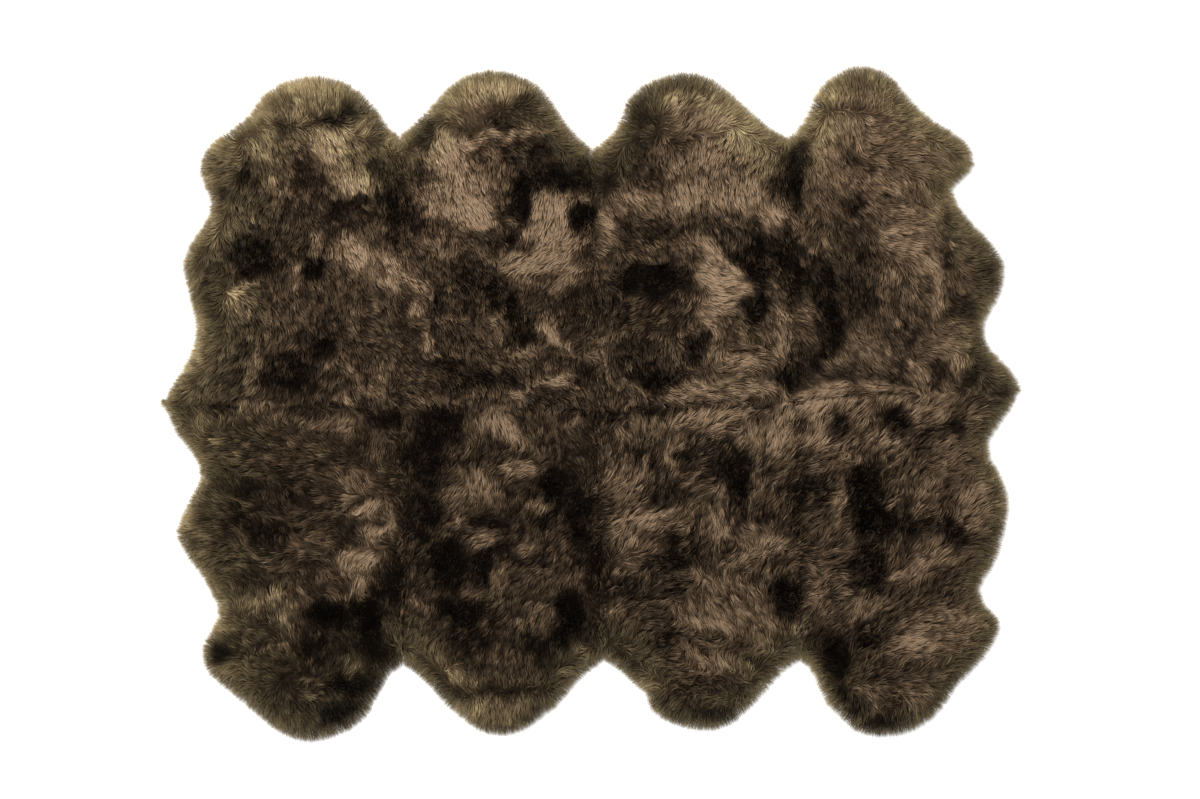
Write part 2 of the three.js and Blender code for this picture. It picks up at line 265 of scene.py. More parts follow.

# Patches where the wool was brushed another way. Their change in tone is painted sheen where it is paler and
# painted shade where it is darker, as the brushed wool shows under the light. Columns: x and y of the middle
# in mm, half length and half width in mm, turn of the length from +X in degrees, change in tone, and the
# heading of the wool's tips.
NAP_AND_SHEEN = [
    # upper row, first pelt
    (-770, 882, 120, 32, 0, .08, 95), (-770, 850, 95, 60, 0, .22, 95), (-690, 690, 110, 65, -50, .22, -60),
    (-642, 605, 60, 38, 0, .38, -90), (-890, 690, 90, 45, -50, .18, -50), (-1015, 670, 55, 70, 0, .13, 160),
    (-890, 610, 28, 25, 0, .22, -60), (-763, 440, 18, 32, 0, .30, -80), (-665, 420, 55, 38, 0, .46, -60),
    (-575, 370, 90, 48, -20, .36, -70), (-815, 370, 14, 55, 0, .10, -95), (-965, 320, 50, 11, 12, .42, 15),
    (-975, 270, 45, 34, 0, .20, -60), (-1055, 180, 35, 75, 0, .07, 190), (-930, 85, 24, 50, -25, .28, -120),
    (-610, 35, 38, 16, -15, .38, -20), (-680, 15, 42, 12, 0, .32, -30), (-570, 60, 15, 50, 0, .22, -85),
    (-1035, 470, 15, 42, 0, .18, -80), (-830, 585, 60, 25, -20, .12, -70),
    (-800, 260, 80, 50, 20, .08, -40), (-715, 780, 78, 11, 18, -.32, 20), (-675, 832, 34, 18, 60, -.14, 60),
    (-862, 755, 9, 30, 0, -.14, -80), (-952, 635, 22, 36, 0, -.20, -60), (-790, 640, 70, 55, 0, -.08, -50),
    (-938, 405, 62, 58, 0, -.30, -90), (-870, 395, 45, 60, 0, -.08, -90), (-534, 540, 30, 75, 0, -.20, -90),
    (-620, 562, 72, 12, 5, -.24, -90), (-770, 375, 36, 42, 0, -.16, -60), (-740, 165, 50, 36, 0, -.26, -60),
    (-840, 90, 84, 46, 0, -.30, -70), (-1040, 300, 45, 90, 0, -.06, 170), (-680, 520, 90, 30, 0, -.10, -30),
    (-585, 640, 34, 30, 0, -.22, -80), (-810, 790, 70, 22, -10, .14, 100), (-640, 760, 50, 30, 0, .14, 80),
    (-1035, 570, 25, 30, 0, -.15, 170), (-770, 390, 36, 40, 30, -.14, -70),
    (-740, 235, 40, 30, 0, -.14, -70), (-665, 130, 20, 40, 30, -.12, -70), (-545, 330, 18, 90, 0, .12, -85),
    (-835, 845, 18, 8, 20, -.22, 60), (-735, 715, 60, 32, -40, .18, -60), (-665, 95, 50, 12, -45, .24, -45),
    (-830, 735, 40, 28, 0, .16, -50), (-905, 785, 40, 28, 40, .16, 130), (-795, 680, 50, 28, -40, .15, -50),
    (-620, 468, 40, 26, 0, .15, -60), (-535, 715, 40, 28, 0, .14, 120), (-615, 760, 36, 26, 0, .14, 60),
    (-520, 395, 28, 40, 0, .12, -70), (-900, 830, 36, 24, 40, .12, 130), (-1100, 120, 26, 44, 0, .14, 190),
    (-905, 392, 26, 30, 0, .10, -90), (-884, 745, 18, 30, 0, .12, -50), (-588, 438, 30, 26, 0, .10, -60),
    (-757, 485, 30, 20, 0, .10, -70), (-970, 668, 20, 34, 0, .12, 170), (-715, 374, 24, 30, 0, .10, -60),
    # upper row, second pelt
    (-390, 700, 62, 58, 0, .28, -85), (-330, 660, 90, 50, 0, .16, -80), (-375, 575, 95, 68, 0, .40, -75),
    (-315, 520, 60, 42, 0, .46, -80), (-265, 682, 26, 20, 0, .26, -80), (-290, 870, 100, 42, 0, .18, 95),
    (-200, 745, 105, 15, 8, .22, 10), (-110, 548, 58, 40, 0, .42, -95), (-115, 500, 62, 55, 0, .44, -95),
    (-75, 435, 62, 45, 0, .40, 190), (-165, 390, 90, 36, 5, .46, 200), (-60, 350, 40, 36, 0, .32, 210),
    (-20, 565, 16, 13, 0, .30, 20), (-120, 205, 22, 38, 15, .30, -70), (-95, 180, 38, 18, -30, .38, -30),
    (-175, 140, 36, 18, 0, .28, 10), (-70, 140, 32, 11, 10, .28, 10), (-100, 65, 62, 14, 20, .40, 20),
    (-185, 30, 44, 12, 20, .42, 20), (-450, 145, 22, 36, 0, .32, -100), (-475, 265, 26, 24, 0, .50, -100),
    (-460, 320, 34, 22, -40, .32, -40), (-265, 238, 26, 12, 10, .15, 0), (-350, 240, 40, 40, 0, -.12, -60),
    (-400, 430, 34, 42, 0, .18, -120), (-190, 698, 112, 28, 6, -.18, 0), (-120, 625, 95, 38, 0, -.32, -20),
    (-185, 565, 24, 60, 0, -.36, -80), (-232, 523, 42, 14, 0, -.16, 0), (-20, 515, 40, 34, 0, -.44, -60),
    (-25, 410, 32, 26, 0, -.10, -70), (-240, 455, 52, 28, 0, -.18, -60),
    (-320, 345, 70, 40, -10, -.26, -60), (-230, 300, 46, 48, 0, -.26, -70),
    (-190, 210, 40, 48, 0, -.26, -70), (-40, 280, 36, 75, 0, -.10, -80), (-430, 285, 30, 50, 0, -.20, -120),
    (-300, 65, 110, 26, 0, -.26, -30), (-420, 105, 60, 28, 0, -.26, -30), (-460, 760, 30, 52, 0, -.16, 150),
    (-188, 832, 60, 14, 35, -.12, 50), (-245, 772, 42, 15, 0, -.18, 20), (-370, 810, 70, 45, 0, .18, 110),
    (-330, 725, 95, 20, 22, .20, 20), (-480, 505, 50, 28, 0, -.22, -90), (-455, 630, 45, 30, 0, -.20, -90),
    (-50, 598, 40, 18, 0, -.20, -60), (-190, 352, 50, 25, 0, .15, -160), (-80, 320, 40, 25, 20, .20, -150),
    (-400, 180, 60, 40, 0, -.18, -100), (-325, 270, 30, 40, 0, -.10, -80),
    (-240, 255, 30, 25, 0, -.15, -80), (-245, 110, 50, 25, 0, .10, -40), (-25, 85, 30, 30, 0, -.15, -70),
    (-40, 380, 40, 24, 0, .22, -160), (-370, 220, 48, 36, 0, .10, -60), (-120, 20, 60, 20, 0, -.14, 0),
    (-305, 772, 46, 24, 0, .14, 95), (-190, 335, 40, 20, 0, .12, -70), (-255, 602, 40, 42, 0, .15, -80),
    (-240, 866, 90, 28, 0, .16, 95), (-300, 735, 50, 20, 20, .14, 20), (-105, 368, 40, 18, 0, .12, -160),
    (-215, 508, 20, 14, 0, .16, 0), (-190, 322, 36, 18, 0, .12, -70), (-228, 90, 40, 20, 0, .10, -40),
    (-297, 632, 36, 20, 0, .10, -80), (-78, 302, 30, 22, 0, .10, -150), (-275, 845, 100, 44, 0, .10, 95),
    # upper row, third pelt
    (255, 880, 110, 24, 0, -.08, 65), (340, 800, 130, 80, 0, .22, 65), (400, 690, 115, 85, 0, .20, -115),
    (275, 570, 45, 45, 0, .30, -80), (375, 585, 95, 45, 0, .24, -85), (455, 550, 90, 38, -20, .24, -60),
    (510, 510, 50, 36, 0, .26, -40), (170, 575, 62, 30, 0, .18, -50), (45, 470, 28, 62, 0, .34, 10),
    (325, 440, 44, 26, -40, .36, -30), (370, 350, 60, 44, -20, .36, 5), (390, 310, 58, 44, 10, .36, 15),
    (350, 262, 60, 34, 20, .32, 20), (340, 205, 30, 24, 0, .22, -60), (255, 425, 40, 28, 0, .18, -40),
    (258, 178, 36, 6, 52, .46, 52), (440, 130, 85, 36, 5, .24, 30), (350, 130, 34, 30, 0, .20, -120),
    (370, 32, 165, 32, 3, .30, 30), (535, 200, 20, 62, 0, .32, -85), (560, 240, 32, 11, 5, .28, 0),
    (130, 40, 40, 8, -50, .22, -50), (20, 170, 42, 12, 0, .26, 10), (10, 130, 42, 18, 0, .22, 10),
    (80, 560, 30, 40, 0, .12, -60), (140, 820, 40, 62, 0, -.12, 110), (150, 660, 62, 58, 0, -.15, -60),
    (250, 735, 28, 25, 0, -.08, 60), (20, 640, 60, 50, 0, -.18, 100), (400, 638, 38, 12, 20, -.18, 40),
    (536, 600, 34, 26, 0, -.26, -60), (578, 650, 24, 72, 0, -.40, -90), (150, 462, 95, 32, 0, -.14, -50),
    (170, 342, 112, 48, 0, -.34, 110), (180, 245, 112, 46, 0, -.08, 185), (130, 120, 80, 58, 0, -.20, -60),
    (190, 55, 44, 24, 0, -.36, -60), (285, 150, 48, 42, 0, -.32, -70), (470, 400, 58, 56, 0, -.36, -70),
    (420, 472, 66, 26, -8, -.12, -60), (460, 270, 40, 38, 0, -.38, -60), (550, 330, 36, 85, 0, -.15, -80),
    (550, 70, 42, 34, 0, -.32, -120), (300, 86, 42, 13, 10, -.20, 30), (230, 75, 36, 18, 0, -.30, -60),
    (215, 830, 60, 35, 0, .20, 80), (200, 690, 40, 40, 0, .18, -115), (350, 790, 50, 40, 0, .12, 65),
    (315, 370, 25, 50, 0, .18, -10), (385, 410, 40, 18, -45, -.25, -60), (465, 330, 35, 25, -30, -.22, -60),
    (440, 190, 35, 15, 0, .15, -20), (300, 255, 20, 25, 0, .15, -40), (40, 265, 40, 50, 0, -.20, -80),
    (480, 65, 40, 18, 0, -.15, 0), (575, 35, 30, 30, 0, -.25, -60), (150, 45, 50, 20, -40, -.12, -60),
    (110, 565, 60, 36, 0, .14, -60), (255, 640, 55, 22, 10, .14, -80), (150, 770, 50, 80, 0, -.06, 120),
    (315, 662, 70, 34, 0, .16, -115), (230, 578, 46, 34, 0, .14, -85), (300, 540, 80, 22, 0, .12, -85),
    (392, 92, 42, 34, 0, .18, 60), (385, 553, 50, 24, 0, .12, -85), (440, 142, 36, 12, 0, -.28, 0),
    (220, 528, 50, 18, 0, .12, -85), (294, 780, 46, 24, 0, .10, 65), (496, 628, 26, 18, 0, .10, -60),
    (391, 852, 34, 24, -30, -.10, 70), (318, 680, 60, 40, 0, .08, -115),
    # upper row, fourth pelt
    (745, 895, 110, 27, 0, -.13, 95), (1075, 170, 30, 70, 0, -.14, 0), (1110, 400, 30, 90, 0, -.07, 0),
    (1045, 520, 70, 24, -58, -.08, 0), (1125, 110, 45, 24, -45, -.10, 0), (745, 865, 110, 60, 0, .18, 90),
    (700, 745, 95, 62, 0, .14, -85), (850, 745, 85, 75, 0, .10, 45), (930, 660, 72, 36, 0, .04, 15),
    (650, 650, 58, 60, 0, .10, -80), (650, 560, 55, 55, 0, .04, -55), (800, 612, 100, 36, 0, .14, -60),
    (870, 475, 85, 52, 30, .20, 25), (885, 420, 52, 22, 30, .18, 25), (965, 545, 26, 55, 40, .10, -40),
    (925, 385, 36, 44, 30, .28, -55), (835, 345, 26, 32, 0, .14, -80), (965, 290, 24, 75, -15, .28, -100),
    (820, 270, 18, 50, 20, .16, -75), (1030, 190, 50, 50, 0, .05, 20), (960, 150, 55, 36, 10, .10, 25),
    (780, 150, 100, 36, -30, .08, -40), (900, 90, 40, 28, 0, .18, -50), (1000, 90, 28, 42, 0, .20, -90),
    (650, 22, 85, 30, 5, .20, 40), (760, 42, 80, 18, 0, .10, 20), (845, 30, 62, 26, 0, .14, 40),
    (970, 22, 42, 28, 0, .15, 50), (700, 826, 95, 9, 2, -.10, 90), (755, 662, 48, 12, -25, -.26, -30),
    (700, 680, 20, 26, 0, -.16, -60), (728, 550, 34, 40, 0, -.28, -60), (815, 575, 14, 12, 0, -.28, -60),
    (740, 440, 52, 50, 0, -.20, -70), (620, 340, 62, 60, 0, -.26, -90), (720, 300, 80, 80, 0, -.24, -80),
    (660, 200, 42, 80, 0, -.36, -90), (850, 240, 48, 50, 0, -.08, -60), (885, 178, 26, 34, 0, -.15, -60),
    (960, 85, 36, 40, 0, -.22, -50), (850, 80, 46, 20, 0, -.10, -50), (985, 450, 13, 88, 0, -.22, -70),
    (1040, 265, 40, 38, 0, -.28, 20), (1048, 76, 52, 22, 30, -.34, 30), (575, 560, 20, 42, 0, -.32, -90),
    (550, 430, 38, 58, 0, -.20, -90), (600, 120, 42, 40, 0, -.24, -80), (705, 610, 30, 40, 0, .12, -70),
    (985, 525, 35, 30, 0, -.10, -30), (740, 75, 120, 18, 0, -.14, -30), (830, 90, 30, 25, 0, -.10, -40),
    (852, 14, 52, 14, 0, .14, 40), (705, 405, 40, 34, 0, -.12, -70), (1128, 350, 24, 80, 0, -.14, 20),
    (1130, 42, 46, 24, -30, -.18, 0), (836, 655, 36, 18, 0, .10, -60), (850, -2, 46, 12, 0, .10, 40),
    (1090, 375, 40, 80, 0, -.10, 20), (668, 893, 40, 22, 30, -.10, 110), (1172, 70, 26, 30, 0, -.12, 20),
    (748, 578, 30, 24, 0, .10, -60),
    # lower row, first pelt
    (-1070, -60, 42, 28, 40, .20, 45), (-1010, -60, 38, 20, 45, .10, 45), (-930, -15, 52, 24, 0, .24, 60),
    (-840, -45, 52, 20, 0, .26, 20), (-710, -60, 72, 34, 0, .22, 60), (-850, -140, 32, 9, 0, .24, 0),
    (-645, -215, 52, 34, 0, .24, 80), (-620, -290, 62, 18, 5, .50, 10), (-600, -352, 46, 22, 0, .56, 10),
    (-552, -335, 12, 46, 0, .28, 70), (-640, -430, 62, 38, 10, .50, 20), (-600, -425, 40, 30, 0, .20, 10),
    (-650, -520, 64, 18, 30, .42, 30), (-780, -385, 62, 28, 0, .20, 135), (-955, -282, 26, 10, 5, .30, 0),
    (-970, -370, 20, 42, 0, .22, 90), (-950, -440, 42, 28, -30, .04, 150),
    (-870, -550, 112, 46, 0, .18, 60), (-830, -620, 38, 72, 0, .16, 75), (-970, -550, 60, 48, 0, .04, 40),
    (-920, -685, 44, 8, 25, .26, 25), (-948, -740, 9, 44, 0, .12, 90), (-780, -762, 44, 9, 0, .18, 0),
    (-680, -720, 44, 22, -20, .14, 40), (-640, -745, 30, 28, 0, .20, 60),
    (-1115, -320, 24, 32, 0, .16, 190), (-720, -820, 60, 30, 0, .06, -60),
    (-970, -230, 62, 30, 0, -.14, 60), (-850, -258, 85, 36, 0, -.08, 60), (-680, -352, 26, 42, 0, -.10, 80),
    (-1025, -690, 28, 24, 0, -.30, 120), (-735, -578, 48, 34, 0, -.38, 60),
    (-760, -680, 60, 58, 0, -.22, 60), (-640, -590, 72, 52, 0, -.32, 60), (-600, -640, 38, 72, 0, -.28, 80),
    (-640, -778, 72, 28, 0, -.32, -40), (-850, -820, 80, 40, 0, -.04, -90),
    (-550, -500, 48, 82, 0, -.22, 80), (-560, -42, 46, 28, 0, -.26, 60), (-600, -130, 62, 40, 0, .05, 30),
    (-900, -350, 60, 40, 0, -.10, 60), (-850, -365, 50, 35, 30, -.14, 60), (-840, -490, 60, 25, 0, .12, 60),
    (-745, -490, 40, 25, 0, .12, 60), (-935, -500, 50, 40, -30, -.12, 100),
    (-560, -590, 40, 50, 0, .10, 80), (-500, -555, 40, 25, 0, .16, 100), (-665, -690, 40, 40, 0, -.15, 60),
    (-680, -745, 50, 30, 0, -.15, 60), (-680, -860, 60, 45, 0, -.30, -80),
    (-550, -705, 30, 30, 0, -.30, -60), (-785, -800, 45, 35, 0, .16, 80),
    (-1000, -720, 35, 25, 0, .15, 200), (-1045, -35, 30, 25, 0, -.12, 160),
    (-960, -330, 70, 56, 0, -.12, 150), (-750, -800, 110, 66, 0, -.08, -20),
    (-730, -70, 90, 26, 0, .08, -10), (-582, -745, 48, 46, 0, -.20, -60),
    (-605, -815, 34, 30, 0, -.18, -70), (-748, -735, 48, 28, 0, .14, 60),
    (-1010, -600, 34, 28, 0, .14, 180), (-690, -585, 30, 14, 0, .12, 60), (-680, -592, 30, 16, 0, .08, 60),
    (-1040, -360, 50, 70, 0, .05, 170), (-750, -860, 110, 40, 0, -.06, -80),
    (-776, -26, 50, 12, 0, -.12, 0), (-582, -457, 24, 26, 0, .12, 60), (-881, -499, 50, 18, 0, .10, 60),
    (-746, -687, 34, 24, 0, .10, 60), (-660, -424, 24, 14, 0, -.10, 20),
    # lower row, second pelt
    (-250, -58, 66, 38, -32, .44, 120), (-210, -85, 32, 28, -45, .28, 135),
    (-320, -80, 30, 42, 0, .20, 110), (-170, -102, 32, 20, 0, .24, 150), (-130, -130, 28, 15, 0, .24, 150),
    (-45, -48, 34, 12, 30, .26, 30), (-190, -180, 52, 22, 5, .46, 10), (-270, -160, 60, 28, 0, .12, 40),
    (-305, -190, 14, 28, 20, .30, 110), (-295, -240, 64, 40, -45, .36, 120),
    (-230, -270, 40, 38, 0, -.05, 100), (-370, -270, 32, 42, 0, .30, 60), (-360, -330, 16, 22, 0, .30, 60),
    (-135, -285, 26, 20, 0, .60, 40), (-292, -375, 36, 22, 10, .36, 20), (-190, -405, 28, 16, 20, .36, 30),
    (-252, -490, 26, 50, 0, .30, 80), (-330, -525, 42, 15, 0, .22, 20), (-460, -555, 52, 7, -30, .30, 150),
    (-470, -640, 62, 90, 0, .08, 75), (-150, -570, 82, 68, 0, .10, 60), (-90, -450, 80, 68, 0, .08, 45),
    (-35, -665, 16, 52, 35, .26, 125), (-370, -745, 42, 24, 0, .26, -80), (-60, -735, 30, 20, 0, .14, -30),
    (-260, -850, 120, 42, 0, .18, -90), (-240, -765, 105, 18, 0, .14, 90), (-420, -70, 72, 50, 0, -.30, 90),
    (-450, -150, 82, 46, 0, -.22, 60), (-285, -118, 42, 16, -20, -.12, 90),
    (-108, -240, 50, 58, 0, -.30, 90), (-30, -310, 38, 85, 0, -.28, 80), (-440, -260, 36, 90, 0, -.20, 80),
    (-470, -350, 46, 80, 0, -.16, 80), (-270, -326, 44, 12, 0, -.30, 60), (-390, -440, 45, 65, 0, -.32, 80),
    (-300, -445, 36, 44, 0, -.28, 80), (-360, -572, 80, 38, 0, -.32, 60), (-340, -650, 72, 46, 0, -.16, 60),
    (-160, -660, 42, 24, 0, -.24, 60), (-70, -640, 46, 46, 0, -.32, 60), (-55, -570, 38, 42, 0, -.44, 60),
    (-300, -797, 62, 11, 0, -.12, -90), (-190, -796, 44, 13, 0, -.14, -90),
    (-170, -860, 42, 24, 0, -.12, -80), (-135, -326, 36, 14, 0, -.28, 40),
    (-325, -155, 40, 25, 0, -.18, 90), (-120, -65, 50, 25, 0, .10, 120), (-235, -400, 35, 18, 0, -.18, 60),
    (-135, -422, 30, 18, 0, -.16, 60), (-405, -355, 35, 30, 0, .10, 80), (-65, -540, 30, 30, 0, -.12, 60),
    (-425, -705, 45, 25, -40, .15, 110), (-330, -780, 40, 25, 0, .15, 90), (-250, -720, 50, 40, 0, .14, 80),
    (-120, -700, 30, 40, 0, -.15, 60), (-150, -865, 40, 25, 30, -.20, -60),
    (-20, -400, 40, 50, 0, -.15, 70), (-30, -14, 60, 10, 0, -.20, 0), (-5, -625, 26, 30, 0, -.14, 60),
    (-175, -718, 40, 24, 0, .10, 80), (-247, -782, 60, 13, 0, .10, 90), (-265, -850, 100, 34, 0, .08, -90),
    (-300, -24, 40, 12, 0, -.14, 0), (-310, -880, 60, 24, 0, -.10, -90), (-139, -432, 36, 18, 0, -.12, 60),
    # lower row, third pelt
    (330, -868, 95, 22, 0, -.09, -90), (330, -36, 112, 24, 8, .44, 15), (345, -70, 50, 14, 25, .30, 25),
    (160, -60, 82, 38, 0, .22, 110), (470, -90, 62, 48, 0, .28, 110), (535, -80, 38, 62, 0, .34, 100),
    (225, -125, 14, 22, -20, .34, 60), (225, -168, 30, 13, -45, .30, 135), (145, -170, 42, 9, 60, .30, 60),
    (100, -220, 72, 58, 0, .18, 50), (190, -300, 82, 14, 5, .26, 10), (130, -350, 70, 55, 0, .28, 60),
    (240, -335, 36, 20, 0, .14, 0), (345, -335, 40, 40, 0, .30, 60), (348, -248, 15, 17, 0, .46, 60),
    (290, -275, 32, 18, 0, .10, 20), (455, -275, 34, 9, 60, .30, 60), (445, -210, 34, 7, 75, .26, 75),
    (450, -370, 82, 36, -10, .32, 160), (510, -385, 50, 14, -5, .12, 0), (430, -430, 70, 20, 10, .24, 15),
    (540, -450, 36, 28, 30, .12, 30), (65, -455, 32, 20, 0, .20, 60), (310, -480, 44, 14, -35, .30, 145),
    (140, -510, 20, 20, 0, .22, 60), (70, -560, 28, 24, 0, .22, 30), (385, -560, 122, 66, 0, .18, 150),
    (320, -612, 92, 26, -15, .28, 160), (470, -630, 62, 46, 0, .14, 145),
    (280, -680, 62, 18, -20, .24, 160), (350, -712, 52, 28, 0, .36, 140), (270, -722, 26, 22, 0, .18, 130),
    (590, -620, 40, 48, 0, .06, 60), (170, -770, 30, 20, 0, .12, 220), (270, -150, 36, 28, 0, -.20, 60),
    (350, -112, 42, 24, 0, -.22, 60), (390, -190, 58, 66, 0, -.34, 90), (150, -140, 40, 36, 0, -.20, 60),
    (190, -250, 60, 36, 0, -.22, 60), (430, -262, 18, 62, 0, -.30, 80), (560, -240, 40, 58, 0, -.16, 60),
    (290, -370, 20, 30, 0, -.24, 80), (225, -372, 50, 20, 0, -.18, 10), (240, -430, 62, 28, 0, -.38, 30),
    (540, -540, 40, 60, 0, -.46, 90), (560, -340, 38, 48, 0, -.18, 60), (220, -660, 52, 18, 10, -.28, 10),
    (380, -776, 60, 24, 0, -.14, -60), (290, -832, 22, 20, 0, -.10, -90), (20, -460, 30, 60, 0, -.20, 80),
    (100, -512, 70, 36, 0, -.20, 60), (410, -345, 25, 50, 10, -.25, 80), (480, -305, 30, 20, 0, -.20, 60),
    (340, -275, 35, 12, 0, -.15, 40), (520, -425, 70, 16, 0, -.25, 20), (220, -500, 40, 25, 10, -.22, 30),
    (500, -520, 25, 30, 0, -.20, 80), (420, -735, 50, 25, -10, .14, 140), (530, -610, 40, 40, 0, .12, 120),
    (255, -105, 25, 20, 0, .15, 60), (130, -28, 110, 16, 4, -.38, 10), (178, -192, 50, 28, 0, -.18, 60),
    (200, -366, 60, 20, 0, -.22, 20), (95, -715, 40, 24, -40, -.16, -140),
    (380, -868, 80, 22, 0, -.10, -90), (505, -292, 30, 16, 0, -.16, 60), (462, -318, 30, 13, 0, -.14, 60),
    (150, -182, 40, 18, 0, -.12, 60), (360, -868, 70, 20, 0, -.10, -90), (191, -834, 30, 24, 0, -.12, -150),
    (474, -146, 40, 16, 0, -.14, 60), (183, -450, 36, 22, 0, -.12, 30),
    # lower row, fourth pelt
    (805, -880, 95, 27, 0, -.09, -80), (620, -92, 52, 38, 0, .36, 100), (590, 0, 52, 48, 0, .30, 60),
    (650, 10, 60, 38, 0, .18, 60), (750, -32, 40, 48, 0, .24, 40), (820, -96, 62, 28, 0, .28, 20),
    (745, -152, 46, 18, -20, .30, 160), (850, -152, 54, 6, 35, .30, 35), (930, -22, 62, 40, 0, .22, 60),
    (990, -140, 62, 36, 15, .14, 35), (935, -240, 28, 50, -30, .24, 60), (1060, -290, 48, 70, 0, .24, 35),
    (690, -270, 16, 62, -10, .30, 80), (640, -350, 60, 48, 0, .02, 60), (950, -420, 62, 38, 0, .16, 20),
    (880, -462, 72, 26, 30, .24, 30), (940, -476, 32, 18, 0, .18, 20), (770, -556, 24, 36, -15, .24, 100),
    (812, -556, 34, 10, 10, .20, 15), (735, -570, 17, 42, -20, .26, 75), (640, -530, 30, 50, 0, .14, 80),
    (970, -612, 122, 56, 10, .20, 20), (880, -670, 82, 36, 0, .30, 10), (1060, -612, 58, 56, 0, .06, 20),
    (760, -790, 42, 28, 0, .16, -60), (782, -840, 14, 24, 0, .20, -70), (695, -60, 20, 36, 0, -.28, 60),
    (580, -66, 32, 24, 0, -.30, 60), (590, -152, 42, 28, 0, -.08, 60), (850, -46, 42, 38, 0, -.34, 40),
    (970, -76, 34, 14, 0, -.24, 30), (1020, -62, 22, 30, 0, -.28, 40), (765, -270, 50, 92, 0, -.42, 90),
    (790, -335, 62, 48, 0, -.34, 80), (620, -240, 50, 48, 0, -.22, 60), (930, -345, 62, 24, 5, -.26, 30),
    (1005, -345, 50, 24, -60, -.36, 40), (850, -330, 42, 38, 0, -.20, 60), (770, -450, 50, 58, 0, -.40, 80),
    (820, -510, 30, 18, 0, -.32, 40), (970, -456, 32, 14, 0, -.20, 20), (1000, -502, 32, 28, 0, -.06, 20),
    (880, -540, 64, 14, 25, -.10, 25), (780, -632, 60, 34, 0, -.26, 30), (680, -705, 36, 58, 0, -.42, 200),
    (830, -742, 62, 24, 5, -.06, 10), (740, -832, 36, 34, 0, -.30, -70), (690, -800, 22, 18, 0, -.26, 230),
    (930, -835, 60, 30, 30, .06, -50), (640, -30, 30, 20, 0, .12, 70), (900, -95, 45, 25, 0, -.16, 40),
    (1060, -30, 30, 30, 0, .14, 20), (720, -210, 50, 20, 0, -.12, 50), (810, -185, 40, 15, 0, -.12, 40),
    (930, -300, 35, 18, 0, .12, 30), (790, -580, 40, 25, 0, -.15, 30), (895, -790, 50, 40, 20, .16, -30),
    (795, -885, 35, 25, 0, -.20, -80), (632, -640, 34, 44, 0, -.22, 60),
    (1010, -780, 40, 30, 40, -.14, -40), (815, -895, 60, 22, 0, -.12, -90),
    (940, -145, 36, 24, 0, -.12, 40), (768, -520, 30, 13, 0, -.20, 60), (668, -300, 20, 30, 0, -.14, 60),
    (895, -432, 36, 14, 20, -.14, 30), (772, -668, 40, 22, 0, -.14, 20), (965, -838, 36, 24, 40, -.12, -50),
    (800, -862, 30, 26, 0, -.14, -80), (743, -358, 30, 24, 0, -.12, 80), (574, -628, 26, 24, 0, .12, 60),
    (1016, -768, 40, 26, 40, -.10, -40),
]


def unit(degrees):
    """Unit vectors for headings in degrees."""
    return np.stack([np.cos(np.radians(degrees)), np.sin(np.radians(degrees))], axis=-1)


def nap_map(low, high):
    """The brushed patches on a square grid over the rug, as change in tone, which is painted sheen and shade,
    and combing in x and y. A patch is half strong on its ellipse and falls with the sixth power of the
    distance, and noise makes its edge ragged."""
    x, y = [np.arange(a, b, MAP_PITCH) for a, b in zip(low, high)]
    grid = np.stack(np.meshgrid(x, y), axis=-1)
    flat = grid.reshape(-1, 2)
    ragged = [
        sum(size * lattice_noise(flat, cell, seed + n) for n, (size, cell) in enumerate(RAGGED))
        for seed in (11, 13)
    ]
    grid = 1000 * grid + np.column_stack(ragged).reshape(grid.shape)
    nap = np.zeros((len(y), len(x), 3))
    for middle_x, middle_y, length, width, turn, tone, comb in NAP_AND_SHEEN:
        span = (PATCH_SPAN * max(length, width) + sum(size for size, cell in RAGGED)) / 1000
        rows = slice(*np.searchsorted(y, (middle_y / 1000 - span, middle_y / 1000 + span)))
        columns = slice(*np.searchsorted(x, (middle_x / 1000 - span, middle_x / 1000 + span)))
        offset = grid[rows, columns] - (middle_x, middle_y)
        distance = np.hypot(offset @ unit(turn) / length, offset @ unit(turn + 90) / width)
        nap[rows, columns] += (0.5 ** distance**6)[:, :, None] * [tone, *unit(comb)]
    return nap


def read_map(nap, low, places):
    """Values of the map at places, straight between its four nearest points."""
    scaled = (places - low) / MAP_PITCH
    column, row = np.floor(scaled).astype(int).T
    x, y = (scaled - np.floor(scaled)).T[:, :, None]
    lower = nap[row, column] * (1 - x) + nap[row, column + 1] * x
    upper = nap[row + 1, column] * (1 - x) + nap[row + 1, column + 1] * x
    return lower * (1 - y) + upper * y


def pelt_grid(outline):
    """Places over a pelt in rows from its middle seam to its neck. A row joins the two sides of the outline
    at the same share of the way up. The shares follow a sine, so rows are closest at the round end of the
    neck. The sides start at the outline's outermost corners near the middle seam."""
    loop = np.roll(outline, -int(np.argmax(np.abs(outline[:, 1]))), axis=0)
    near_seam = np.flatnonzero(np.abs(loop[:, 1]) < SEAM_WANDER)
    out = np.array([-1, 1])[:, None] * loop[near_seam, 0] - 0.5 * np.abs(loop[near_seam, 1])
    corners = sorted(near_seam[np.argmax(out, axis=1)])
    sides = [loop[corners[0]::-1], np.vstack([loop[corners[1]:], loop[:1]])]
    rows, columns = FLEECE_GRID
    share = np.sin(np.linspace(0, FLEECE_END, rows + 1) * np.pi / 2)
    ends = []
    for side in sides:
        climb = np.maximum.accumulate(np.abs(side[:, 1] - side[0, 1]))
        ends.append(np.column_stack([np.interp(share * climb[-1], climb, side[:, k]) for k in (0, 1)]))
    across = np.linspace(0, 1, columns + 1)[None, :, None]
    return ends[0][:, None] * (1 - across) + ends[1][:, None] * across


